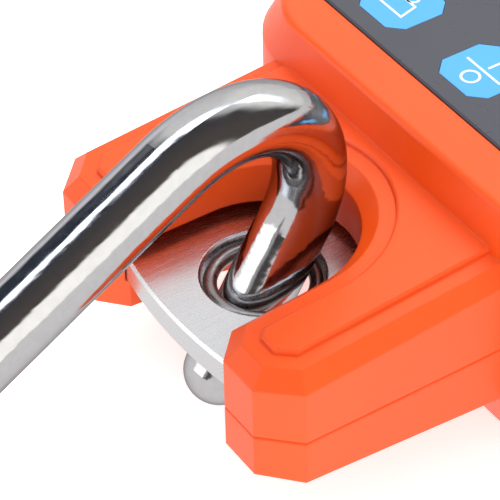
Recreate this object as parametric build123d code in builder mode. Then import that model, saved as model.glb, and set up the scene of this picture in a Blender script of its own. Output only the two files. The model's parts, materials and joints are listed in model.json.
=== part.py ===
from build123d import *

import os
from math import cos, radians, sin, sqrt

os.makedirs("parts", exist_ok=True)

# A small digital hanging scale, lying on its back. Millimetres, +Z up out of the display side.
# +Y points to the hanging ring, -Y to the load hook, and the case is the same at both ends.
# The origin is the centre of the flat back face.

# ---- driving dimensions -------------------------------------------------------------------
eye_y = 58.0  # each eye of the load-cell plate, from the middle of the scale
parting_z = 17.0  # where the two case shells meet, and the middle of the plate

arm_half = 26.4  # half the width over a pair of arms
arm_end = 73.9  # the arms' end faces, from the middle
arm_corner = 4.5  # 45 degree corner on the outside of an arm
mouth_corner = 3.5  # 45 degree corner on the inside of an arm
bevel = 2.07  # bevel round the arms' upper edges
arm_top_end = 26.7  # height of an arm at its end
arm_bottom_end = 10.0
arm_top_rise = 0.08  # how fast an arm grows towards the middle block
arm_bottom_fall = 0.069
arm_root = 30.0  # the arms run into the middle block up to here
pad_inset = 4.2  # raised pad on the arms, from their outline
pad_rise = 0.73
notch_r = 12.1  # the U-shaped notch between two arms
notch_y = 57.7

block_half_w = 37.0  # the middle block at its widest
block_half_l = 39.9
block_corner = 14.0
shoulder_z = 29.4  # above this the block's walls lean in
crease_z = 36.0
crease_half_w = 33.0
crease_half_l = 38.6
crease_corner = 12.5
heel_z = 7.6  # below this they lean in again
base_half_w = 34.5
base_half_l = 37.4
base_corner = 12.5
crease_round = 0.9
parting_groove = 0.22  # a fine groove shows all round where the shells meet

plate_t = 4.1
plate_half_w = 17.0
plate_nose_r = 71.8  # both noses lie on one big circle
plate_edge = 0.4
eye_hole_r = 7.9
eye_ring_r = 6.75  # middle of the round-section ring in each eye
bar_r = 4.65  # the bar of the hook and of the ring

panel_half_w = 29.0
panel_half_l = 31.9
panel_z = 35.0
panel_top_z = 36.2
key_y = -24.3
key_pitch = 17.5
key_flats = 9.6  # an octagon with four long and four short sides
key_cut = 1.9
key_gap = 0.06  # all round each key, where it comes through the panel

pcb_z = 26.4
pcb_t = 1.6
display_y = 8.0
fit_gap = 0.1  # between neighbouring loose pieces

plate_top = parting_z + plate_t / 2
plate_bottom = parting_z - plate_t / 2
pcb_top = pcb_z + pcb_t


def four_spots(across, along):
    """Four places, the same way out from the middle on every side."""
    return [(x, y) for x in (-across, across) for y in (-along, along)]


case_screw_spots = four_spots(19.4, 61.0)
plate_screw_spots = four_spots(13.0, 33.0)
pcb_screw_spots = four_spots(27.0, 29.0)
key_spots = [(-key_pitch, key_y), (0, key_y), (key_pitch, key_y)]


# ---- shapes used more than once -----------------------------------------------------------
def arms_plan(inset):
    """The plan of both pairs of arms, pulled in all round by inset."""
    shrink = inset * (2 - sqrt(2))
    half, end, gap = arm_half - inset, arm_end - inset, notch_r + inset
    with BuildSketch(Plane.XY) as plan:
        Rectangle(2 * half, 2 * end)
        chamfer(plan.vertices(), length=arm_corner - shrink)
        with Locations((0, notch_y), (0, -notch_y)):
            Circle(gap, mode=Mode.SUBTRACT)
        with Locations((0, notch_y + 20), (0, -notch_y - 20)):
            Rectangle(2 * gap, 40, mode=Mode.SUBTRACT)
        mouths = plan.vertices().filter_by(
            lambda v: abs(abs(v.Y) - end) < 0.01 and abs(abs(v.X) - gap) < 0.01
        )
        chamfer(mouths, length=mouth_corner - shrink)
    return plan.sketch


def side_solid(low_end, low_root, high_end, high_root):
    """The arms' side view, right across the scale: heights at their ends and at their roots."""
    with BuildPart() as body:
        with BuildSketch(Plane.YZ.offset(-arm_end)):
            Polygon(
                (-arm_end, low_end),
                (-arm_root, low_root),
                (arm_root, low_root),
                (arm_end, low_end),
                (arm_end, high_end),
                (arm_root, high_root),
                (-arm_root, high_root),
                (-arm_end, high_end),
                align=None,
            )
        extrude(amount=2 * arm_end)
    return body.part


def upper_arms(inset, rise, edge_cut):
    """Both pairs of arms above the parting line, with their upper edges bevelled."""
    end_z = arm_top_end + rise
    root_z = end_z + arm_top_rise * (arm_end - arm_root)
    with BuildPart() as arms:
        add(arms_plan(inset))
        extrude(amount=60)
        add(side_solid(parting_z, parting_z, end_z, root_z), mode=Mode.INTERSECT)
        slopes = arms.faces().filter_by(
            lambda f: f.normal_at().Z > 0.5 and abs(f.center().Y) > arm_root
        )
        rims = slopes.edges().filter_by(lambda e: abs(e.center().Y) > arm_root + 0.1)
        chamfer(rims, length=edge_cut)
    return arms.part


def lower_arms(edge_cut):
    """Both pairs of arms below the parting line, with their lower edges bevelled."""
    root_z = arm_bottom_end - arm_bottom_fall * (arm_end - arm_root)
    with BuildPart() as arms:
        add(arms_plan(0))
        extrude(amount=60)
        add(side_solid(arm_bottom_end, root_z, parting_z, parting_z), mode=Mode.INTERSECT)
        soles = arms.faces().filter_by(
            lambda f: f.normal_at().Z < -0.5 and abs(f.center().Y) > arm_root
        )
        rims = soles.edges().filter_by(lambda e: abs(e.center().Y) > arm_root + 0.1)
        chamfer(rims, length=edge_cut)
    return arms.part


def rounded_slab(half_w, half_l, corner, low_z, high_z):
    """An upright slab with round corners."""
    with BuildPart() as slab:
        with BuildSketch(Plane.XY.offset(low_z)):
            RectangleRounded(2 * half_w, 2 * half_l, corner)
        extrude(amount=high_z - low_z)
    return slab.part


def leaning_slab(low, high):
    """A slab whose walls lean: low and high are (half width, half length, corner, z)."""
    with BuildPart() as slab:
        for half_w, half_l, corner, z in (low, high):
            with BuildSketch(Plane.XY.offset(z)):
                RectangleRounded(2 * half_w, 2 * half_l, corner)
        loft()
    return slab.part


def plate_plan(grow, z):
    """Plan of the load-cell plate: straight sides, and noses on one big circle."""
    with BuildSketch(Plane.XY.offset(z)) as plan:
        Circle(plate_nose_r + grow)
        Rectangle(2 * (plate_half_w + grow), 2 * arm_end, mode=Mode.INTERSECT)
    return plan.sketch


def octagon(across, cut):
    """A square with its four corners cut off."""
    with BuildSketch() as shape:
        Rectangle(across, across)
        chamfer(shape.vertices(), length=cut)
    return shape.sketch


def block_box(half_x, low_y, high_y, low_z, high_z):
    """A plain block, centred across the scale, for cuts and supports."""
    with BuildPart() as box:
        with BuildSketch(Plane.XY.offset(low_z)):
            with Locations((0, (low_y + high_y) / 2)):
                Rectangle(2 * half_x, high_y - low_y)
        extrude(amount=high_z - low_z)
    return box.part


def posts(spots, radius, low_z, high_z):
    """Round posts, or round holes, at these spots."""
    with BuildPart() as group:
        with BuildSketch(Plane.XY.offset(low_z)):
            with Locations(*spots):
                Circle(radius)
        extrude(amount=high_z - low_z)
    return group.part


def arm_pockets(low_z, high_z):
    """The hollows inside the four arms."""
    with BuildPart() as pockets:
        with BuildSketch(Plane.XY.offset(low_z)):
            with Locations(*four_spots(21.0, 57.0)):
                RectangleRounded(6.6, 24.0, 1.5)
        extrude(amount=high_z - low_z)
    return pockets.part


# ---- front case ---------------------------------------------------------------------------
cavity_half_w, cavity_half_l, cavity_corner = 34.6, 37.4, 11.6  # the same in both shells
cavity_step_z = 28.5
cavity_roof_z = 33.5
cavity_low = rounded_slab(cavity_half_w, cavity_half_l, cavity_corner, parting_z, cavity_step_z)
cavity_high = rounded_slab(31.0, 36.0, 10.5, cavity_step_z, cavity_roof_z)
arm_hollow_roof_z = 24.0
plate_post_top_z = 25.0
post_foot_z = plate_top + fit_gap / 2
shadow_gap = 1.4
screw_hole_r = 1.5
board_hole_r = 1.0
panel_recess_corner = 4.2
opening_w, opening_l = 46.0, 22.0  # the display's opening in the case and in the panel

with BuildPart() as front_case:
    add(upper_arms(0, 0, bevel))
    add(upper_arms(pad_inset, pad_rise, 0.3))
    add(rounded_slab(block_half_w, block_half_l, block_corner, parting_z, shoulder_z))
    add(
        leaning_slab(
            (block_half_w, block_half_l, block_corner, shoulder_z),
            (crease_half_w, crease_half_l, crease_corner, crease_z),
        )
    )
    fillet(
        front_case.faces().sort_by(Axis.Z)[-1].outer_wire().edges(), radius=crease_round
    )
    chamfer(front_case.faces().sort_by(Axis.Z)[0].outer_wire().edges(), length=parting_groove)
    add(cavity_low, mode=Mode.SUBTRACT)
    add(cavity_high, mode=Mode.SUBTRACT)
    add(arm_pockets(parting_z, arm_hollow_roof_z), mode=Mode.SUBTRACT)
    add(posts(case_screw_spots, 3.0, parting_z, arm_hollow_roof_z + 0.5))
    add(posts(pcb_screw_spots, 2.6, pcb_top, cavity_roof_z + 0.1))
    # room for the plate, with a shadow gap over it that lets it bend under load
    add(plate_plan(fit_gap, parting_z))
    extrude(amount=plate_t / 2 + shadow_gap, mode=Mode.SUBTRACT)
    # posts that the plate is screwed to, and ribs that tie them to the end walls
    add(posts(plate_screw_spots, 3.2, post_foot_z, plate_post_top_z))
    with BuildSketch(Plane.XY.offset(post_foot_z)):
        with Locations(*four_spots(13.0, 35.5)):
            Rectangle(4.0, 6.0)
    extrude(amount=plate_post_top_z - post_foot_z)
    # recess for the face panel, with the display and key openings through its floor
    with BuildSketch(Plane.XY.offset(panel_z)):
        RectangleRounded(2 * panel_half_w + 0.5, 2 * panel_half_l + 0.5, panel_recess_corner)
    extrude(amount=2, mode=Mode.SUBTRACT)
    with BuildSketch(Plane.XY.offset(cavity_roof_z - 0.5)):
        with Locations((0, display_y)):
            Rectangle(opening_w, opening_l)
        with Locations(*key_spots):
            add(octagon(key_flats + 0.8, key_cut + 0.2))
    extrude(amount=3, mode=Mode.SUBTRACT)
    # blind screw holes
    add(posts(case_screw_spots, screw_hole_r, parting_z, 24.0), mode=Mode.SUBTRACT)
    add(posts(plate_screw_spots, screw_hole_r, plate_top, 24.5), mode=Mode.SUBTRACT)
    add(posts(pcb_screw_spots, board_hole_r, pcb_top, 32.6), mode=Mode.SUBTRACT)
front_case.part.label = "front_case"
export_step(front_case.part, "parts/front_case.step")

# ---- rear case ----------------------------------------------------------------------------
bay_half_w = 17.4
bay_end = 26.5
bay_roof_z = 13.7
bay_wall = 1.6
floor_z = 2.8
cover_half_w = 18.6
cover_low_y = -29.0
cover_t = 2.2
tongue_low_z, tongue_high_z = 1.0, 1.8
tongue_reach = 1.0
slide_gap = 0.15
slot_end = 45.0  # past the end wall
rear_step_z = 8.0

rear_outside = leaning_slab(
    (base_half_w, base_half_l, base_corner, 0),
    (block_half_w, block_half_l, block_corner, heel_z),
)

with BuildPart() as rear_case:
    add(lower_arms(0.8))
    add(rounded_slab(block_half_w, block_half_l, block_corner, heel_z, parting_z))
    add(rear_outside)
    fillet(
        rear_case.faces().sort_by(Axis.Z)[0].outer_wire().edges(), radius=crease_round
    )
    chamfer(rear_case.faces().sort_by(Axis.Z)[-1].outer_wire().edges(), length=parting_groove)
    add(
        rounded_slab(cavity_half_w, cavity_half_l, cavity_corner, rear_step_z, parting_z),
        mode=Mode.SUBTRACT,
    )
    add(rounded_slab(31.5, 35.0, 10.0, floor_z, rear_step_z), mode=Mode.SUBTRACT)
    # battery bay: four walls and a roof, open below
    bay_outside = bay_end + bay_wall
    add(block_box(bay_half_w + bay_wall, -bay_outside, bay_outside, 2.0, bay_roof_z + 1.1))
    add(block_box(bay_half_w, -bay_end, bay_end, -1.0, bay_roof_z), mode=Mode.SUBTRACT)
    # a floor under the cover's rails, and the cover's slot, which runs out of the top end
    add(block_box(22.0, cover_low_y - 2.0, 36.0, cover_t, floor_z))
    add(block_box(bay_half_w, -bay_end, bay_end, 2.0, floor_z + 0.2), mode=Mode.SUBTRACT)
    add(
        block_box(cover_half_w + slide_gap, cover_low_y, slot_end, -1.0, cover_t + 0.05),
        mode=Mode.SUBTRACT,
    )
    tongue_half_w = cover_half_w + tongue_reach + slide_gap
    add(
        block_box(tongue_half_w, cover_low_y, slot_end, tongue_low_z - 0.1, tongue_high_z + 0.1),
        mode=Mode.SUBTRACT,
    )
    # arms: hollow, with screw posts
    add(arm_pockets(12.5, parting_z), mode=Mode.SUBTRACT)
    add(posts(case_screw_spots, 3.6, 11.0, parting_z))
    # room for the plate
    add(plate_plan(fit_gap, plate_bottom - fit_gap / 2))
    extrude(amount=plate_t, mode=Mode.SUBTRACT)
    # case screws come up through the arms
    add(posts(case_screw_spots, 1.6, 5.0, parting_z), mode=Mode.SUBTRACT)
    add(posts(case_screw_spots, 3.1, 5.0, 13.0), mode=Mode.SUBTRACT)
rear_case.part.label = "rear_case"
export_step(rear_case.part, "parts/rear_case.step")

# ---- battery cover, cells and contacts ----------------------------------------------------
with BuildPart() as battery_cover:
    cover_start = cover_low_y + slide_gap
    add(block_box(cover_half_w, cover_start, slot_end, -0.5, cover_t))
    add(block_box(cover_half_w + tongue_reach, cover_start, 30.0, tongue_low_z, tongue_high_z))
    add(rear_outside, mode=Mode.INTERSECT)
    # thumb grip: five shallow grooves near the top end
    with BuildSketch(Plane.XY):
        with Locations(*[(0, 24.0 + 2.0 * i) for i in range(5)]):
            SlotOverall(14.0, 1.0)
    extrude(amount=0.4, mode=Mode.SUBTRACT)
battery_cover.part.label = "battery_cover"
export_step(battery_cover.part, "parts/battery_cover.step")


cell_r = 5.25
cell_z = 8.0
cell_pitch = 11.2
cell_half = 21.6  # cell body; its button stands out beyond
button_r, button_h = 1.9, 0.9


def lying_rod(x, z, radius, low_y, high_y):
    """A round rod along Y."""
    with BuildPart() as rod:
        with BuildSketch(Plane.XZ.offset(-low_y)):
            with Locations((x, z)):
                Circle(radius)
        extrude(amount=low_y - high_y)
    return rod.part


cell_columns = [(-cell_pitch, 1), (0, -1), (cell_pitch, 1)]  # x, and the way its button points
with BuildPart() as batteries:
    for x, way in cell_columns:
        add(lying_rod(x, cell_z, cell_r, -cell_half, cell_half))
        button_start, button_end = sorted((way * cell_half, way * (cell_half + button_h)))
        add(lying_rod(x, cell_z, button_r, button_start, button_end))
    ends = batteries.edges().filter_by(GeomType.CIRCLE).filter_by(lambda e: e.radius > 5)
    fillet(ends, radius=0.5)
batteries.part.label = "batteries"
export_step(batteries.part, "parts/batteries.step")

contact_t = 0.4
with BuildPart() as contact_plates:
    for x, way in cell_columns:
        for side in (1, -1):
            with BuildSketch(Plane.XZ.offset(-side * bay_end)):
                with Locations((x, cell_z)):
                    Rectangle(9.0, 9.0)
            extrude(amount=side * contact_t)
contact_plates.part.label = "contact_plates"
export_step(contact_plates.part, "parts/contact_plates.step")

# the springs press on the flat ends: here each is the coned sleeve that its coil fills
with BuildPart() as contact_springs:
    for x, way in cell_columns:
        wall_y = -way * (bay_end - contact_t)
        with BuildSketch(Plane.XZ.offset(-wall_y)):
            with Locations((x, cell_z)):
                Circle(3.4)
        with BuildSketch(Plane.XZ.offset(way * cell_half)):
            with Locations((x, cell_z)):
                Circle(2.2)
        loft()
        add(lying_rod(x, cell_z, 1.5, -bay_end + contact_t, -cell_half), mode=Mode.SUBTRACT)
        add(lying_rod(x, cell_z, 1.5, cell_half, bay_end - contact_t), mode=Mode.SUBTRACT)
contact_springs.part.label = "contact_springs"
export_step(contact_springs.part, "parts/contact_springs.step")

# ---- load-cell plate ----------------------------------------------------------------------
waist_half_w = 13.5
waist_half_l = 26.0
window_r = 5.5
window_y = 10.0

with BuildPart() as load_cell_plate:
    add(plate_plan(0, plate_bottom))
    extrude(amount=plate_t)
    with BuildSketch(Plane.XY.offset(plate_bottom)):
        with Locations((-plate_half_w, 0), (plate_half_w, 0)):
            RectangleRounded(2 * (plate_half_w - waist_half_w), 2 * waist_half_l, 2.5)
        with Locations((0, window_y), (0, -window_y)):
            Circle(window_r)
        Rectangle(4.0, 2 * window_y)
    extrude(amount=plate_t, mode=Mode.SUBTRACT)
    rims = load_cell_plate.edges().filter_by(
        lambda e: abs(e.center().Y) > waist_half_l and abs(e.center().Z - parting_z) > 1
    )
    chamfer(rims, length=plate_edge)
    with Locations((0, eye_y, parting_z), (0, -eye_y, parting_z)):
        Hole(eye_hole_r, depth=plate_t)
    eye_rims = (
        load_cell_plate.edges()
        .filter_by(GeomType.CIRCLE)
        .filter_by(lambda e: abs(e.radius - eye_hole_r) < 0.01)
        .filter_by(lambda e: abs(e.center().Z - parting_z) > 1)
    )
    chamfer(eye_rims, length=0.3)
    add(posts(plate_screw_spots, 1.6, plate_bottom, plate_top), mode=Mode.SUBTRACT)
load_cell_plate.part.label = "load_cell_plate"
export_step(load_cell_plate.part, "parts/load_cell_plate.step")

# a hard round-section ring lines each eye, just below the plate's top face
eye_ring_section = 0.95
eye_ring_z = 17.35
for name, y in (("lower_eye_ring", -eye_y), ("upper_eye_ring", eye_y)):
    with BuildPart(Plane((0, y, eye_ring_z))) as eye_ring:
        with BuildSketch(Plane((0, y, eye_ring_z), x_dir=(1, 0, 0), z_dir=(0, -1, 0))):
            with Locations((eye_ring_r, 0)):
                Circle(eye_ring_section)
            with Locations((eye_hole_r - 0.45, 0)):
                Rectangle(0.9, 0.7)
        revolve(axis=Axis((0, y, eye_ring_z), (0, 0, 1)))
    eye_ring.part.label = name
    export_step(eye_ring.part, f"parts/{name}.step")

# strain gauges: two on each face of the waist
with BuildPart() as strain_gauges:
    with BuildSketch(Plane.XY.offset(plate_top)):
        with Locations((-9.5, window_y), (9.5, window_y)):
            Rectangle(4.0, 7.0)
    extrude(amount=0.15)
    with BuildSketch(Plane.XY.offset(plate_bottom)):
        with Locations((-9.5, -window_y), (9.5, -window_y)):
            Rectangle(4.0, 7.0)
    extrude(amount=-0.15)
strain_gauges.part.label = "strain_gauges"
export_step(strain_gauges.part, "parts/strain_gauges.step")

# four thin leads from the gauges to the circuit board
with BuildPart() as gauge_wires:
    for index in range(4):
        y = window_y - 2.4 + 1.6 * index
        with BuildLine(Plane.XZ.offset(-y)) as lead:
            FilletPolyline(
                (-11.4, plate_top + 0.56), (-18.5, plate_top + 0.56), (-18.5, pcb_z), radius=2.5
            )
        with BuildSketch(Plane(lead.line @ 0, z_dir=lead.line % 0)):
            Circle(0.4)
        sweep(path=lead.line)
gauge_wires.part.label = "gauge_wires"
export_step(gauge_wires.part, "parts/gauge_wires.step")

# ---- circuit board and what is on it ------------------------------------------------------
with BuildPart() as main_board:
    with BuildSketch(Plane.XY.offset(pcb_z)):
        RectangleRounded(62.0, 66.0, 3.0)
        with Locations(*pcb_screw_spots):
            Circle(1.1, mode=Mode.SUBTRACT)
    extrude(amount=pcb_t)
main_board.part.label = "main_board"
export_step(main_board.part, "parts/main_board.step")

switch_top = 31.4
plunger_r = 1.7
plunger_low = 30.3
with BuildPart() as key_switches:
    with BuildSketch(Plane.XY.offset(pcb_top)):
        with Locations(*key_spots):
            Rectangle(6.0, 6.0)
    extrude(amount=switch_top - pcb_top)
    with BuildSketch(Plane.XY.offset(plunger_low - 0.6)):
        with Locations(*key_spots):
            Circle(plunger_r + 0.15)
    extrude(amount=5, mode=Mode.SUBTRACT)
key_switches.part.label = "key_switches"
export_step(key_switches.part, "parts/key_switches.step")

with BuildPart() as chips:
    with BuildSketch(Plane.XY.offset(pcb_z)):
        with Locations((8, 14)):
            Rectangle(10.0, 10.0)
        with Locations((10, -8)):
            Rectangle(6.0, 5.0)
        with Locations((-6, -14)):
            Rectangle(5.0, 4.0)
    extrude(amount=-1.3)
chips.part.label = "chips"
export_step(chips.part, "parts/chips.step")

with BuildPart(Plane((23.5, -2, pcb_z), z_dir=(0, 0, -1))) as buzzer:
    Cylinder(4.5, 4.2, align=(Align.CENTER, Align.CENTER, Align.MIN))
    with Locations((0, 0, 4.2)):
        Hole(0.9, depth=1.5)
buzzer.part.label = "buzzer"
export_step(buzzer.part, "parts/buzzer.step")

# ---- display stack ------------------------------------------------------------------------
glass_w, glass_l = 50.0, 26.0
glass_low_z, glass_high_z = 31.0, 33.2
with BuildPart() as display_frame:
    with BuildSketch(Plane.XY.offset(pcb_top)):
        with Locations((0, display_y)):
            RectangleRounded(glass_w + 4.0, glass_l + 4.0, 1.5)
            Rectangle(glass_w - 2.0, glass_l - 2.0, mode=Mode.SUBTRACT)
    extrude(amount=glass_high_z - pcb_top)
    with BuildSketch(Plane.XY.offset(glass_low_z)):
        with Locations((0, display_y)):
            Rectangle(glass_w + 0.1, glass_l + 0.1)
    extrude(amount=5, mode=Mode.SUBTRACT)
display_frame.part.label = "display_frame"
export_step(display_frame.part, "parts/display_frame.step")

with BuildPart(Plane((0, display_y, glass_low_z))) as lcd_glass:
    Box(glass_w, glass_l, glass_high_z - glass_low_z, align=(Align.CENTER, Align.CENTER, Align.MIN))
lcd_glass.part.label = "lcd_glass"
export_step(lcd_glass.part, "parts/lcd_glass.step")

with BuildPart(Plane((0, display_y, pcb_top + 0.2))) as backlight:
    Box(44.0, 17.0, 2.6, align=(Align.CENTER, Align.CENTER, Align.MIN))
backlight.part.label = "backlight"
export_step(backlight.part, "parts/backlight.step")

with BuildPart() as contact_strips:
    with BuildSketch(Plane.XY.offset(pcb_top)):
        with Locations((0, display_y - 10.4), (0, display_y + 10.4)):
            Rectangle(42.0, 1.8)
    extrude(amount=glass_low_z - pcb_top)
contact_strips.part.label = "contact_strips"
export_step(contact_strips.part, "parts/contact_strips.step")

# ---- face panel, window and keys ----------------------------------------------------------
with BuildPart() as face_panel:
    with BuildSketch(Plane.XY.offset(panel_z)):
        RectangleRounded(2 * panel_half_w, 2 * panel_half_l, 4.0)
        with Locations((0, display_y)):
            RectangleRounded(opening_w, opening_l, 1.0, mode=Mode.SUBTRACT)
        with Locations(*key_spots):
            add(octagon(key_flats + 2 * key_gap, key_cut), mode=Mode.SUBTRACT)
    extrude(amount=panel_top_z - panel_z)
    top_rim = face_panel.faces().sort_by(Axis.Z)[-1].outer_wire().edges()
    chamfer(top_rim, length=0.25)
face_panel.part.label = "face_panel"
export_step(face_panel.part, "parts/face_panel.step")

with BuildPart() as display_window:
    with BuildSketch(Plane.XY.offset(panel_z)):
        with Locations((0, display_y)):
            RectangleRounded(opening_w, opening_l, 1.0)
    extrude(amount=panel_top_z - panel_z - 0.1)
display_window.part.label = "display_window"
export_step(display_window.part, "parts/display_window.step")

flange_low_z, flange_high_z = 32.4, 33.2
for name, x in (("unit", -key_pitch), ("power", 0.0), ("hold", key_pitch)):
    with BuildPart(Plane((x, key_y, 0))) as key:
        with BuildSketch(Plane((x, key_y, flange_low_z))):
            add(octagon(key_flats, key_cut))
        extrude(amount=panel_top_z - flange_low_z)
        with BuildSketch(Plane((x, key_y, flange_low_z))):
            add(octagon(key_flats + 2.0, key_cut + 0.4))
        extrude(amount=flange_high_z - flange_low_z)
    key.part.label = f"key_{name}"
    export_step(key.part, f"parts/key_{name}.step")

    with BuildPart(Plane((x, key_y, plunger_low))) as plunger:
        Cylinder(plunger_r, flange_low_z - plunger_low, align=(Align.CENTER, Align.CENTER, Align.MIN))
    plunger.part.label = f"plunger_{name}"
    export_step(plunger.part, f"parts/plunger_{name}.step")


# ---- screws -------------------------------------------------------------------------------
def screws(spots, head_r, head_h, shank_r, head_top_z, tip_z, slot):
    """Screws put in from below, with a cross recess in each head."""
    with BuildPart() as group:
        for x, y in spots:
            with BuildSketch(Plane((x, y, head_top_z))):
                Circle(head_r)
            extrude(amount=-head_h)
            with BuildSketch(Plane((x, y, head_top_z))):
                Circle(shank_r)
            extrude(amount=tip_z - head_top_z)
            with BuildSketch(Plane((x, y, head_top_z - head_h))):
                Rectangle(slot, slot / 5)
                Rectangle(slot / 5, slot)
            extrude(amount=head_h * 0.55, mode=Mode.SUBTRACT)
    return group.part


case_screws = screws(case_screw_spots, 2.8, 2.2, 1.45, 13.0, 23.0, 3.2)
case_screws.label = "case_screws"
export_step(case_screws, "parts/case_screws.step")

plate_screws = screws(plate_screw_spots, 2.6, 0.9, 1.45, plate_bottom, 24.0, 3.0)
plate_screws.label = "plate_screws"
export_step(plate_screws, "parts/plate_screws.step")

pcb_screws = screws(pcb_screw_spots, 1.9, 1.3, 0.95, pcb_z, 32.0, 2.2)
pcb_screws.label = "board_screws"
export_step(pcb_screws, "parts/board_screws.step")

# ---- load hook: one bent bar --------------------------------------------------------------
hook_tilt = 28.9  # the short leg leans back this much in the eye
hook_turn = 143.8  # the bend over the plate
hook_bend_r = 16.5
hook_throat_r = 22.0
hook_throat_turn = 172.0
hook_lip = 5.0  # straight piece after the throat
leg_below, leg_above = 13.4, 8.84  # the short leg, below and above the middle of the plate
hook_across = Vector(0.983, 0.147, -0.116).normalized()  # square to the hook's own plane
shank_rest_z = bar_r + 0.05  # the throat lies on the table


def in_hook_plane(origin):
    """The hook's plane: x runs out of the eye, level, and y rises."""
    level = Vector(hook_across.Y, -hook_across.X, 0).normalized()
    return Plane(origin, x_dir=level, z_dir=hook_across * -1)


hook_plane = in_hook_plane((-0.2, 0.05 - eye_y, parting_z))
rise = hook_plane.y_dir.Z
shank_slope = hook_turn - 90 - hook_tilt  # degrees below level
bend_top = leg_above * cos(radians(hook_tilt)) + hook_bend_r * (
    sin(radians(hook_tilt)) + sin(radians(shank_slope + 90))
)
throat_drop = hook_throat_r * (1 - cos(radians(shank_slope)))
shank_end = (parting_z + bend_top * rise - shank_rest_z) / rise - throat_drop
shank = shank_end / sin(radians(shank_slope))

with BuildPart() as load_hook:
    with BuildLine(hook_plane) as centreline:
        up = (-sin(radians(hook_tilt)), cos(radians(hook_tilt)))
        leg = Line(
            (-leg_below * up[0], -leg_below * up[1]), (leg_above * up[0], leg_above * up[1])
        )
        bend = JernArc(leg @ 1, leg % 1, hook_bend_r, -hook_turn)
        straight = Line(bend @ 1, (bend @ 1) + (bend % 1) * shank)
        throat = JernArc(straight @ 1, straight % 1, hook_throat_r, hook_throat_turn)
        tip = Line(throat @ 1, (throat @ 1) + (throat % 1) * hook_lip)
    with BuildSketch(Plane(centreline.line @ 0, z_dir=centreline.line % 0)):
        Circle(bar_r)
    sweep(path=centreline.line)
    # both ends of the bar are domed
    with Locations(leg @ 0, tip @ 1):
        Sphere(bar_r)
load_hook.part.label = "load_hook"
export_step(load_hook.part, "parts/load_hook.step")

# ---- hanging ring: one closed oblong of the same bar --------------------------------------
ring_bend_r = 12.0
ring_straight = 34.0
ring_centre_y = eye_y + ring_bend_r + 0.8

with BuildPart() as hanging_ring:
    with BuildLine(Plane.YZ) as loop:
        low_z = parting_z - ring_bend_r
        low = Line((ring_centre_y + ring_straight, low_z), (ring_centre_y, low_z))
        near = JernArc(low @ 1, low % 1, ring_bend_r, -180)
        high = Line(near @ 1, (near @ 1) + (near % 1) * ring_straight)
        far = JernArc(high @ 1, high % 1, ring_bend_r, -180)
    with BuildSketch(Plane(loop.line @ 0, z_dir=loop.line % 0)):
        Circle(bar_r)
    sweep(path=loop.line)
hanging_ring.part.label = "hanging_ring"
export_step(hanging_ring.part, "parts/hanging_ring.step")
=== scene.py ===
import json
import math

import bmesh
import bpy
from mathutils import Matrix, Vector


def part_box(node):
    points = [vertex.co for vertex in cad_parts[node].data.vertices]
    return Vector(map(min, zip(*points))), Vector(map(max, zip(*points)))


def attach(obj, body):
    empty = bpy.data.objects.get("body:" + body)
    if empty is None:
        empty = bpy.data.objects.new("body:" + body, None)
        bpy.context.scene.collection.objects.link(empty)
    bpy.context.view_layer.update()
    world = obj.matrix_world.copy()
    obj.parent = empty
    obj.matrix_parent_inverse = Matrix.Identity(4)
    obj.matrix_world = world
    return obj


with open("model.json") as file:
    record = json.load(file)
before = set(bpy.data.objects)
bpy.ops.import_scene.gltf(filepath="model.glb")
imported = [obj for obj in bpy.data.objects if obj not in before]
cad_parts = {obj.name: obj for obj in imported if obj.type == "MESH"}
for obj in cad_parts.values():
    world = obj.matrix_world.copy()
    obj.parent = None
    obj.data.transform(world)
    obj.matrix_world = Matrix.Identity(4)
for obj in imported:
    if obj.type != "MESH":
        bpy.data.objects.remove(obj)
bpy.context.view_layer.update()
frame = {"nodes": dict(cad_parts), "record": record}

nodes = frame["nodes"]
MM = 0.001


# ---- shader nodes -------------------------------------------------------------------------
# sockets of a Mix node that mixes colours
FIRST_COLOUR, SECOND_COLOUR, MIXED_COLOUR = 6, 7, 2


def is_socket(value):
    return isinstance(value, bpy.types.NodeSocket)


def add_node(tree, kind, inputs=None, **settings):
    """Adds a node to the tree, with socket values or links in inputs."""
    node = tree.nodes.new(kind)
    for key, value in settings.items():
        setattr(node, key, value)
    for key, value in (inputs or {}).items():
        if is_socket(value):
            tree.links.new(value, node.inputs[key])
        else:
            node.inputs[key].default_value = value
    return node


def mapped(tree, value, low, high, to_low=0.0, to_high=1.0, **settings):
    """The value taken from the range low to high, to the range to_low to to_high."""
    inputs = {
        "Value": value,
        "From Min": low,
        "From Max": high,
        "To Min": to_low,
        "To Max": to_high,
    }
    return add_node(tree, "ShaderNodeMapRange", inputs, **settings).outputs["Result"]


def calculated(tree, operation, *values):
    inputs = dict(enumerate(values))
    return add_node(tree, "ShaderNodeMath", inputs, operation=operation).outputs[0]


def mixed_colour(tree, factor, first, second):
    """The first colour where factor is 0, the second where it is 1."""
    inputs = {"Factor": factor}
    for socket, colour in ((FIRST_COLOUR, first), (SECOND_COLOUR, second)):
        inputs[socket] = colour if is_socket(colour) else (*colour, 1)
    return add_node(tree, "ShaderNodeMix", inputs, data_type="RGBA").outputs[MIXED_COLOUR]


def mixed_shader(tree, factor, first, second):
    """The first shader where factor is 0, the second where it is 1."""
    inputs = {"Fac": factor, 1: first.outputs[0], 2: second.outputs[0]}
    return add_node(tree, "ShaderNodeMixShader", inputs)


# ---- materials ----------------------------------------------------------------------------
NOISE_LOW, NOISE_HIGH = 0.3, 0.7  # noise stays between these nearly everywhere
BEVEL_SAMPLES = 6


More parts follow.
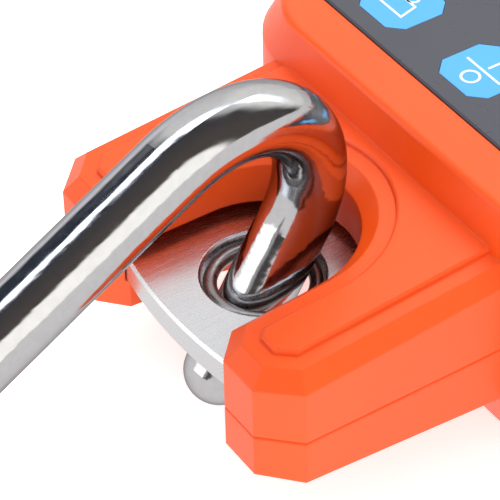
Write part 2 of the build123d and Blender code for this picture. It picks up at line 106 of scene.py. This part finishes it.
class Surface:
    """A node material being built. Sizes of its patterns are in millimetres on the object."""

    def __init__(self, name, colour, **sockets):
        self.material = bpy.data.materials.new(name)
        self.material.use_nodes = True
        self.tree = self.material.node_tree
        self.shader = self.tree.nodes["Principled BSDF"]
        self.shader.inputs["Base Color"].default_value = (*colour, 1)
        for socket, value in sockets.items():
            self.shader.inputs[socket.replace("_", " ")].default_value = value
        self.place = self.add("ShaderNodeTexCoord").outputs["Object"]

    def add(self, kind, inputs=None, **settings):
        return add_node(self.tree, kind, inputs, **settings)

    def join(self, output, socket):
        self.tree.links.new(output, self.shader.inputs[socket])

    def stretched(self, x=1.0, y=1.0, z=1.0):
        """The place on the object with each axis scaled."""
        return self.add("ShaderNodeMapping", {"Vector": self.place, "Scale": (x, y, z)}).outputs[0]

    def noise(self, grain, detail=2.0, roughness=0.5, place=None):
        """Noise whose lumps are about grain millimetres across."""
        inputs = {
            "Vector": place or self.place,
            "Scale": 1 / (grain * MM),
            "Detail": detail,
            "Roughness": roughness,
        }
        return self.add("ShaderNodeTexNoise", inputs).outputs["Fac"]

    def mixed(self, factor, first, second):
        return mixed_colour(self.tree, factor, first, second)

    def vary_colour(self, factor, first, second):
        self.join(self.mixed(factor, first, second), "Base Color")

    def vary_roughness(self, factor, low, high):
        """The roughness goes from low to high with a noise."""
        self.join(mapped(self.tree, factor, NOISE_LOW, NOISE_HIGH, low, high), "Roughness")

    def relief(self, height, depth, strength=1.0, edge=0.0):
        """Bumps of depth millimetres, over edges that are rounded by edge millimetres."""
        inputs = {"Height": height, "Distance": depth * MM, "Strength": strength}
        if edge:
            rounded = self.add("ShaderNodeBevel", {"Radius": edge * MM}, samples=BEVEL_SAMPLES)
            inputs["Normal"] = rounded.outputs[0]
        self.join(self.add("ShaderNodeBump", inputs).outputs[0], "Normal")


def case_plastic():
    """Moulded plastic with a fine spark texture, slightly see-through at its edges."""
    s = Surface(
        "case_plastic",
        (0.93, 0.095, 0.009),
        Roughness=0.34,
        IOR=1.48,
        Subsurface_Weight=0.06,
        Subsurface_Radius=(0.9, 0.25, 0.1),
        Subsurface_Scale=1.5 * MM,
    )
    patches = s.noise(18, detail=3)
    spark = s.noise(0.28, detail=3, roughness=0.6)
    s.vary_colour(patches, (0.91, 0.088, 0.008), (0.96, 0.102, 0.011))
    s.vary_roughness(s.noise(6, detail=4), 0.30, 0.38)
    s.relief(spark, depth=0.02, strength=0.35, edge=0.4)
    return s.material


def polished_steel():
    """A drawn, polished bar: long shallow waves, faint draw lines and small pits."""
    s = Surface(
        "polished_steel",
        (0.60, 0.60, 0.61),
        Metallic=1.0,
        Roughness=0.08,
        Specular_Tint=(0.45, 0.43, 0.44, 1),
    )
    worn_noise = s.noise(1.3, detail=4, roughness=0.6)
    worn = s.mixed(worn_noise, (0.52, 0.52, 0.53), (0.63, 0.63, 0.63))
    pits = mapped(s.tree, s.noise(0.32, detail=4, roughness=0.7), 0.68, 0.76)
    s.vary_colour(pits, worn, (0.30, 0.29, 0.29))
    smears = s.noise(1.0, detail=5, roughness=0.6, place=s.stretched(y=0.3))
    s.join(mapped(s.tree, smears, 0.3, 0.75, 0.05, 0.17), "Roughness")
    draw_lines = s.noise(0.35, detail=4, roughness=0.65, place=s.stretched(y=0.035))
    line_share = 0.03
    waves = s.noise(2.2, detail=2, place=s.stretched(y=0.10))
    both = calculated(s.tree, "MULTIPLY_ADD", draw_lines, line_share, waves)
    s.relief(both, depth=0.12, strength=0.4)
    return s.material


def ring_steel():
    """Dark, dull hardened steel with faint smears."""
    s = Surface("ring_steel", (0.30, 0.29, 0.28), Metallic=1.0, Roughness=0.3)
    smears = s.noise(1.4, detail=4, roughness=0.6)
    s.vary_colour(smears, (0.21, 0.20, 0.195), (0.38, 0.365, 0.355))
    s.vary_roughness(s.noise(0.8, detail=4), 0.24, 0.38)
    s.relief(s.noise(0.5, detail=3), depth=0.01, strength=0.35)
    return s.material


def aluminium():
    """Milled plate: fine tool lines along its length."""
    s = Surface("aluminium", (0.72, 0.72, 0.73), Metallic=1.0, Roughness=0.26)
    line_pitch = 0.25 * MM
    bands_per_unit = 10 / math.pi  # of a wave texture at scale 1
    tool_inputs = {
        "Vector": s.place,
        "Scale": 1 / line_pitch / bands_per_unit,
        "Distortion": 0.6,
        "Detail": 1.0,
    }
    tool_lines = s.add("ShaderNodeTexWave", tool_inputs, bands_direction="X").outputs["Fac"]
    streaks = s.noise(0.16, detail=3, roughness=0.6, place=s.stretched(y=0.02))
    s.vary_colour(streaks, (0.67, 0.67, 0.68), (0.77, 0.77, 0.78))
    s.vary_roughness(streaks, 0.21, 0.31)
    both = calculated(s.tree, "ADD", tool_lines, streaks)
    s.relief(both, depth=0.006, strength=0.4, edge=0.12)
    return s.material


def grained_plastic(name, dark, light, roughness, grain=0.25, depth=0.008, edge=0.1):
    """Moulded or printed plastic with a fine grain and faint patches."""
    s = Surface(name, dark, Roughness=roughness)
    s.vary_colour(s.noise(9, detail=3), dark, light)
    s.vary_roughness(s.noise(3, detail=4), roughness - 0.04, roughness + 0.05)
    s.relief(s.noise(grain), depth, strength=0.5, edge=edge)
    return s.material


def plain_metal(name, dark, light, roughness):
    """Plated or turned metal with fine smears."""
    s = Surface(name, dark, Metallic=1.0, Roughness=roughness)
    s.vary_colour(s.noise(0.7, detail=4, roughness=0.6), dark, light)
    s.vary_roughness(s.noise(0.4, detail=3), roughness - 0.06, roughness + 0.08)
    s.relief(s.noise(0.3), depth=0.01, strength=0.4)
    return s.material


def circuit_board():
    """Green solder mask with copper tracks showing faintly through it."""
    mask = (0.02, 0.16, 0.05)
    s = Surface("circuit_board", mask, Roughness=0.3)
    track_pitch = 2.2 * MM
    inputs = {"Vector": s.place, "Scale": 1 / track_pitch}
    tracks = s.add("ShaderNodeTexVoronoi", inputs, distance="MANHATTAN").outputs["Distance"]
    s.vary_colour(mapped(s.tree, tracks, 0.4, 0.5), mask, (0.05, 0.28, 0.09))
    s.relief(tracks, depth=0.03, strength=0.5)
    return s.material


def window():
    """Clear, slightly smoked plastic over the display."""
    s = Surface("window", (0.05, 0.055, 0.06), Roughness=0.06, IOR=1.5, Alpha=0.45)
    s.vary_roughness(s.noise(12, detail=3), 0.04, 0.1)
    s.relief(s.noise(8), depth=0.01, strength=0.2, edge=0.1)
    return s.material


def display_face():
    """The greenish grey of a display that is not lit from behind."""
    s = Surface("display_face", (0.30, 0.34, 0.26), Roughness=0.2)
    s.vary_colour(s.noise(14, detail=3), (0.28, 0.32, 0.245), (0.33, 0.37, 0.285))
    s.relief(s.noise(0.2), depth=0.004, strength=0.3)
    return s.material


materials = {
    "case_plastic": case_plastic(),
    "window_plastic": window(),
    "aluminium": aluminium(),
    "ring_steel": ring_steel(),
    "polished_steel": polished_steel(),
    "board": circuit_board(),
    "lcd": display_face(),
}

# each plastic's two colours, its roughness and what differs from the usual grain
plastics = {
    "panel_plastic": (
        (0.056, 0.057, 0.072), (0.064, 0.065, 0.080), 0.30, {"depth": 0.003, "edge": 0}
    ),
    "key_plastic": ((0.070, 0.37, 0.80), (0.085, 0.41, 0.86), 0.34, {"edge": 0}),
    "switch_plastic": ((0.012, 0.012, 0.012), (0.03, 0.03, 0.03), 0.45, {}),
    "gauge_film": ((0.55, 0.28, 0.05), (0.7, 0.38, 0.08), 0.3, {}),
    "wire_cover": ((0.5, 0.03, 0.02), (0.65, 0.05, 0.03), 0.35, {}),
    "chip_plastic": ((0.015, 0.015, 0.016), (0.03, 0.03, 0.032), 0.5, {}),
    "light_guide": ((0.7, 0.75, 0.65), (0.8, 0.85, 0.75), 0.3, {}),
    "cell_sleeve": ((0.03, 0.03, 0.035), (0.08, 0.07, 0.06), 0.3, {}),
    "display_ink": ((0.010, 0.012, 0.010), (0.020, 0.022, 0.020), 0.4, {"grain": 0.1, "edge": 0}),
    "white_ink": ((0.80, 0.82, 0.84), (0.88, 0.9, 0.92), 0.4, {"grain": 0.1, "edge": 0}),
}
for name, (dark, light, roughness, differs) in plastics.items():
    materials[name] = grained_plastic(name, dark, light, roughness, **differs)

# each metal's two colours and its roughness
metals = {
    "spring_steel": ((0.45, 0.45, 0.43), (0.7, 0.7, 0.68), 0.25),
    "screw_steel": ((0.4, 0.4, 0.41), (0.62, 0.62, 0.63), 0.3),
}
for name, looks in metals.items():
    materials[name] = plain_metal(name, *looks)

material_slots = {part["node"]: part["material_slot"] for part in frame["record"]["subparts"]}
for name, slot in material_slots.items():
    nodes[name].data.materials.clear()
    nodes[name].data.materials.append(materials[slot])

# ---- printed marks on the keys, and the display's digits -----------------------------------
INK_T = 0.03 * MM
MARK_STROKE = 0.34 * MM
DIGIT_STROKE = 1.2 * MM
MITRE_LIMIT = 0.5  # keeps the points of sharp corners short


def ribbon(mesh, points, width, z, closed=False):
    """A flat printed line through these points, with mitred corners."""
    points = [Vector(p) for p in points]
    count = len(points)
    sides = []
    for i, p in enumerate(points):
        before = points[i - 1] if i or closed else None
        after = points[(i + 1) % count] if i < count - 1 or closed else None
        arm_in = (p - before).normalized() if before is not None else (after - p).normalized()
        arm_out = (after - p).normalized() if after is not None else arm_in
        across = (arm_in.orthogonal() + arm_out.orthogonal()).normalized()
        half = width / 2 / max(MITRE_LIMIT, across.dot(arm_in.orthogonal()))
        sides.append((p + across * half, p - across * half))
    rings = []
    for left, right in sides:
        corners = [(left, 0), (right, 0), (right, INK_T), (left, INK_T)]
        rings.append([mesh.verts.new((v.x, v.y, z + lift)) for v, lift in corners])
    spans = count if closed else count - 1
    for i in range(spans):
        a, b = rings[i], rings[(i + 1) % count]
        for k in range(4):
            mesh.faces.new((a[k], b[k], b[(k + 1) % 4], a[(k + 1) % 4]))
    if not closed:
        mesh.faces.new(reversed(rings[0]))
        mesh.faces.new(rings[-1])


def circle(centre, radius):
    """The points of a circle. Its last point stops short of its first."""
    cx, cy = centre
    last_angle, steps = 345, 24
    angles = [math.radians(last_angle * i / steps) for i in range(steps + 1)]
    return [(cx + radius * math.cos(a), cy + radius * math.sin(a)) for a in angles]


def printed(name, lines, node, body, paint, stroke):
    """One piece of printed lines on a node's top face: each line is (points, closed)."""
    low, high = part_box(node)
    middle = (low + high) / 2
    mesh = bmesh.new()
    for points, closed in lines:
        placed = [(middle.x + x * MM, middle.y + y * MM) for x, y in points]
        ribbon(mesh, placed, stroke, high.z, closed)
    bmesh.ops.recalc_face_normals(mesh, faces=mesh.faces)
    data = bpy.data.meshes.new(name)
    mesh.to_mesh(data)
    mesh.free()
    data.materials.append(paint)
    piece = bpy.data.objects.new(name, data)
    bpy.context.scene.collection.objects.link(piece)
    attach(piece, body)


# millimetres from the middle of each key
key_marks = {
    # a weight with its handle
    "unit": [
        ([(-2.3, -1.9), (2.3, -1.9), (1.6, 0.9), (-1.6, 0.9)], True),
        (circle((0, 1.75), 0.8), True),
    ],
    # a short line and a circle, either side of a long line
    "power": [
        ([(-3.4, 0), (3.4, 0)], False),
        ([(0, 0.8), (0, 3.3)], False),
        (circle((0, -2.05), 1.2), True),
    ],
    # two bars in a circle
    "hold": [
        (circle((0, 0), 2.3), True),
        ([(-0.7, -1.0), (-0.7, 1.0)], False),
        ([(0.7, -1.0), (0.7, 1.0)], False),
    ],
}
for key, mark in key_marks.items():
    key_node, key_body = f"key_{key}", f"{key}_key"
    printed(f"{key}_key_mark", mark, key_node, key_body, materials["white_ink"], MARK_STROKE)

DIGIT_W, DIGIT_H = 6.0, 12.0
DIGIT_GAP = 0.8  # from a corner of the digit to the end of a bar
DIGIT_MIDDLES = (-13.0, -2.0, 9.0)
POINT_ENDS = (-7.9, -6.9)  # the decimal point, after the first digit


def zero_digit(middle_x):
    """The six bars of a display nought."""
    left, right = middle_x - DIGIT_W / 2, middle_x + DIGIT_W / 2
    bottom, top = -DIGIT_H / 2, DIGIT_H / 2
    bars = [([(left + DIGIT_GAP, y), (right - DIGIT_GAP, y)], False) for y in (bottom, top)]
    for x in (left, right):
        bars.append(([(x, DIGIT_GAP), (x, top - DIGIT_GAP)], False))
        bars.append(([(x, -DIGIT_GAP), (x, bottom + DIGIT_GAP)], False))
    return bars


digits = [bar for middle_x in DIGIT_MIDDLES for bar in zero_digit(middle_x)]
digits.append(([(x, -DIGIT_H / 2) for x in POINT_ENDS], False))
digit_ink = materials["display_ink"]
printed("display_digits", digits, "lcd_glass", "scale_body", digit_ink, DIGIT_STROKE)


# ---- floor, light and camera --------------------------------------------------------------
def studio_floor():
    half = 3.0
    below_object = 0.2 * MM
    mesh = bpy.data.meshes.new("floor")
    corners = [(-half, -half, 0), (half, -half, 0), (half, half, 0), (-half, half, 0)]
    mesh.from_pydata(corners, [], [(0, 1, 2, 3)])
    floor = bpy.data.objects.new("floor", mesh)
    floor.location.z = -below_object
    bpy.context.scene.collection.objects.link(floor)
    s = Surface(
        "floor_paper",
        (0.95, 0.95, 0.95),
        Roughness=0.85,
        Emission_Color=(1, 1, 1, 1),
        Emission_Strength=0.55,
    )
    s.vary_colour(s.noise(200), (0.945, 0.945, 0.945), (0.955, 0.955, 0.955))
    # polished steel sees the floor as a light grey, so that it stands out from it
    glossy_ray = s.add("ShaderNodeLightPath").outputs["Is Glossy Ray"]
    grey = s.add("ShaderNodeEmission", {"Color": (0.94, 0.92, 0.92, 1)})
    from_above = mixed_shader(s.tree, glossy_ray, s.shader, grey)
    # from below the floor can be seen through
    backfacing = s.add("ShaderNodeNewGeometry").outputs["Backfacing"]
    clear = s.add("ShaderNodeBsdfTransparent")
    both = mixed_shader(s.tree, backfacing, from_above, clear)
    s.tree.links.new(both.outputs[0], s.tree.nodes["Material Output"].inputs["Surface"])
    mesh.materials.append(s.material)


# towards each softbox, cosines of its edge and of its full brightness from there, colour
SOFTBOXES = (
    ((0.96, -0.05, -0.02), 0.76, 0.84, (1.60, 1.57, 1.50)),
    ((-0.95, 0.25, -0.05), 0.82, 0.95, (1.05, 1.04, 1.12)),
    ((-0.62, 0.50, 0.67), 0.72, 0.86, (0.92, 0.92, 0.92)),
    ((-0.30, 0.90, 0.35), 0.80, 0.92, (1.10, 1.09, 1.06)),
    ((-0.38, -0.92, 0.10), 0.80, 0.90, (1.90, 1.88, 1.85)),
)
# a long strip lamp, in one plane with the hook's shank
ACROSS_STRIP = (-0.926, 0.082, -0.368)
STRIP_EDGE, STRIP_CORE = 0.14, 0.07
STRIP_COLOUR = (2.5, 2.7, 3.0)


def studio_world():
    """Even white light for matt surfaces. Polished ones see a dim room with white softboxes."""
    world = bpy.data.worlds.new("studio")
    bpy.context.scene.world = world
    world.use_nodes = True
    tree = world.node_tree
    tree.nodes.clear()
    direction = add_node(tree, "ShaderNodeTexCoord").outputs["Generated"]
    parts = add_node(tree, "ShaderNodeSeparateXYZ", {0: direction})

    def along(axis):
        """The cosine of a direction from this axis."""
        inputs = {0: direction, 1: axis}
        dot = add_node(tree, "ShaderNodeVectorMath", inputs, operation="DOT_PRODUCT")
        return dot.outputs["Value"]

    def lit(behind, value, edge, core, colour):
        """A softbox in front of what is behind it: full where value is past core."""
        cover = mapped(tree, value, edge, core, interpolation_type="SMOOTHSTEP")
        return mixed_colour(tree, cover, behind, colour)

    warmth = mapped(tree, parts.outputs["X"], -0.4, 0.6)
    seen = mixed_colour(tree, warmth, (0.040, 0.048, 0.070), (0.105, 0.088, 0.080))
    for towards, edge, core, colour in SOFTBOXES:
        seen = lit(seen, along(Vector(towards).normalized()), edge, core, colour)
    off_strip = calculated(tree, "ABSOLUTE", along(ACROSS_STRIP))
    strip = mapped(tree, off_strip, STRIP_EDGE, STRIP_CORE)
    strip_above = calculated(tree, "MULTIPLY", strip, parts.outputs["Z"])
    seen = lit(seen, strip_above, 0.10, 0.55, STRIP_COLOUR)
    shiny = add_node(tree, "ShaderNodeBackground", {"Color": seen})
    matt = add_node(tree, "ShaderNodeBackground", {"Color": (1, 1, 1, 1), "Strength": 0.72})
    glossy_ray = add_node(tree, "ShaderNodeLightPath").outputs["Is Glossy Ray"]
    chosen = mixed_shader(tree, glossy_ray, matt, shiny)
    add_node(tree, "ShaderNodeOutputWorld", {"Surface": chosen.outputs[0]})


def area_light(name, towards, distance, size, watts):
    """A square lamp that polished surfaces don't mirror."""
    light = bpy.data.lights.new(name, "AREA")
    light.shape = "SQUARE"
    light.size = size
    light.energy = watts
    lamp = bpy.data.objects.new(name, light)
    lamp.location = Vector(towards).normalized() * distance
    lamp.rotation_euler = lamp.location.to_track_quat("Z", "Y").to_euler()
    lamp.visible_glossy = False
    bpy.context.scene.collection.objects.link(lamp)


def studio_camera():
    """Looks steeply down at the hook's end, from close to the case's right-hand side."""
    data = bpy.data.cameras.new("camera")
    data.lens = 194.2
    data.sensor_width = 36.0
    data.clip_start = 0.01
    camera = bpy.data.objects.new("camera", data)
    camera.location = (0.2120, -0.1948, 0.2449)
    camera.rotation_euler = (0.849, 0.017, 0.989)
    bpy.context.scene.collection.objects.link(camera)
    bpy.context.scene.camera = camera


studio_floor()
studio_world()
area_light("key_light", towards=(-0.4, 0.5, 1.0), distance=1.2, size=0.9, watts=13.0)
area_light("side_light", towards=(1.0, -0.5, 0.6), distance=1.2, size=0.8, watts=4.0)
studio_camera()
bpy.context.scene.view_settings.view_transform = "Standard"
